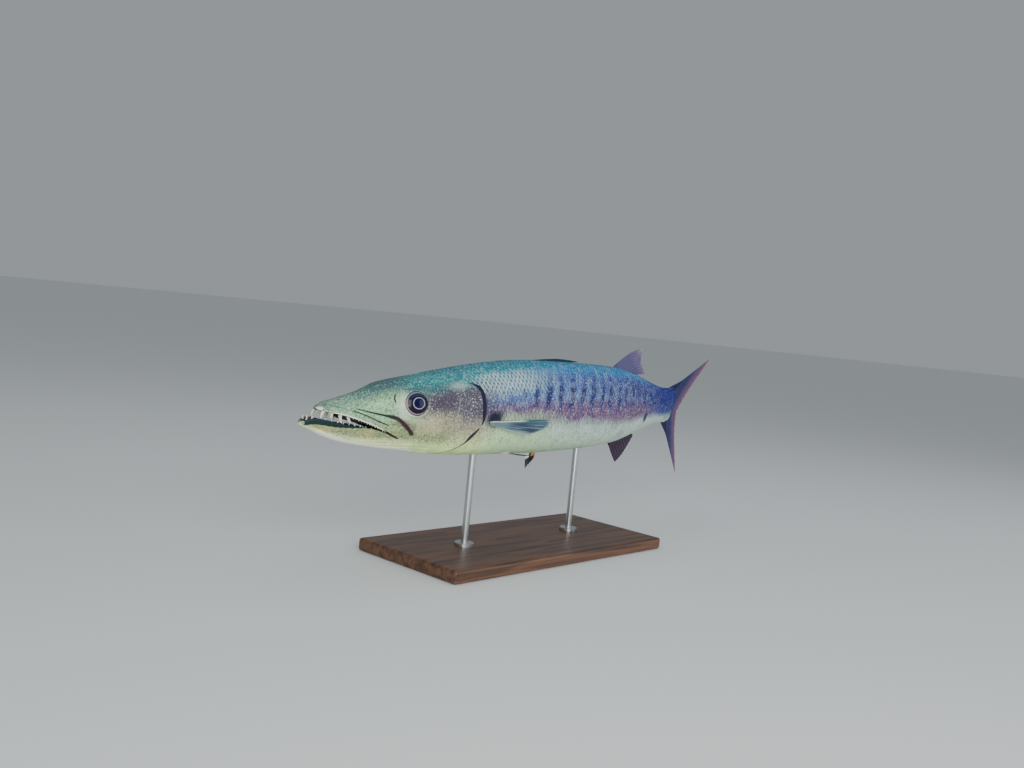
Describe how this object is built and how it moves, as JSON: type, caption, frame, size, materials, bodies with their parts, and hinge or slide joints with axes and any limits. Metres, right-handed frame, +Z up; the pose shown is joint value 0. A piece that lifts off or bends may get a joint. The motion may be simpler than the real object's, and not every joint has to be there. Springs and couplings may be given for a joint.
{
  "type": "great barracuda museum model",
  "caption": "Life-size long silver predatory fish with open toothed jaws, level on a wooden base by two steel rods, a still display model.",
  "frame": {"origin": "centre of the underside of the stand's base, on the floor", "axes": "+Z up, -X towards the fish's snout, +X towards its tail, -Y towards the fish's left side"},
  "size_m": [1.0345, 0.2192, 0.3161],
  "materials": {
    "skin": "silver scaled skin, blue-green above, mauve on the flank and pale below, with dark blue bars",
    "fin": "dusky blue-black fin membrane with fine rays",
    "tooth": "ivory tooth enamel",
    "eye": "clear glossy eye over a dark iris",
    "wood": "oiled walnut with eased edges",
    "steel": "fine brushed steel rod"
  },
  "bodies": {
    "root": {"head": "skin", "lower_jaw": "skin", "eye_left": "eye", "eye_right": "eye", "gill_cover_left": "skin", "gill_cover_right": "skin", "trunk_front": "skin", "trunk_rear": "skin", "tail_stalk": "skin", "dorsal_fin_first": "fin", "dorsal_fin_second": "fin", "anal_fin": "fin", "pectoral_fin_left": "fin", "pectoral_fin_right": "fin", "pelvic_fin_left": "fin", "pelvic_fin_right": "fin", "caudal_fin_upper": "fin", "caudal_fin_lower": "fin", "stand_base": "wood", "stand_rod_front": "steel", "stand_rod_rear": "steel"}
  },
  "joints": []
}
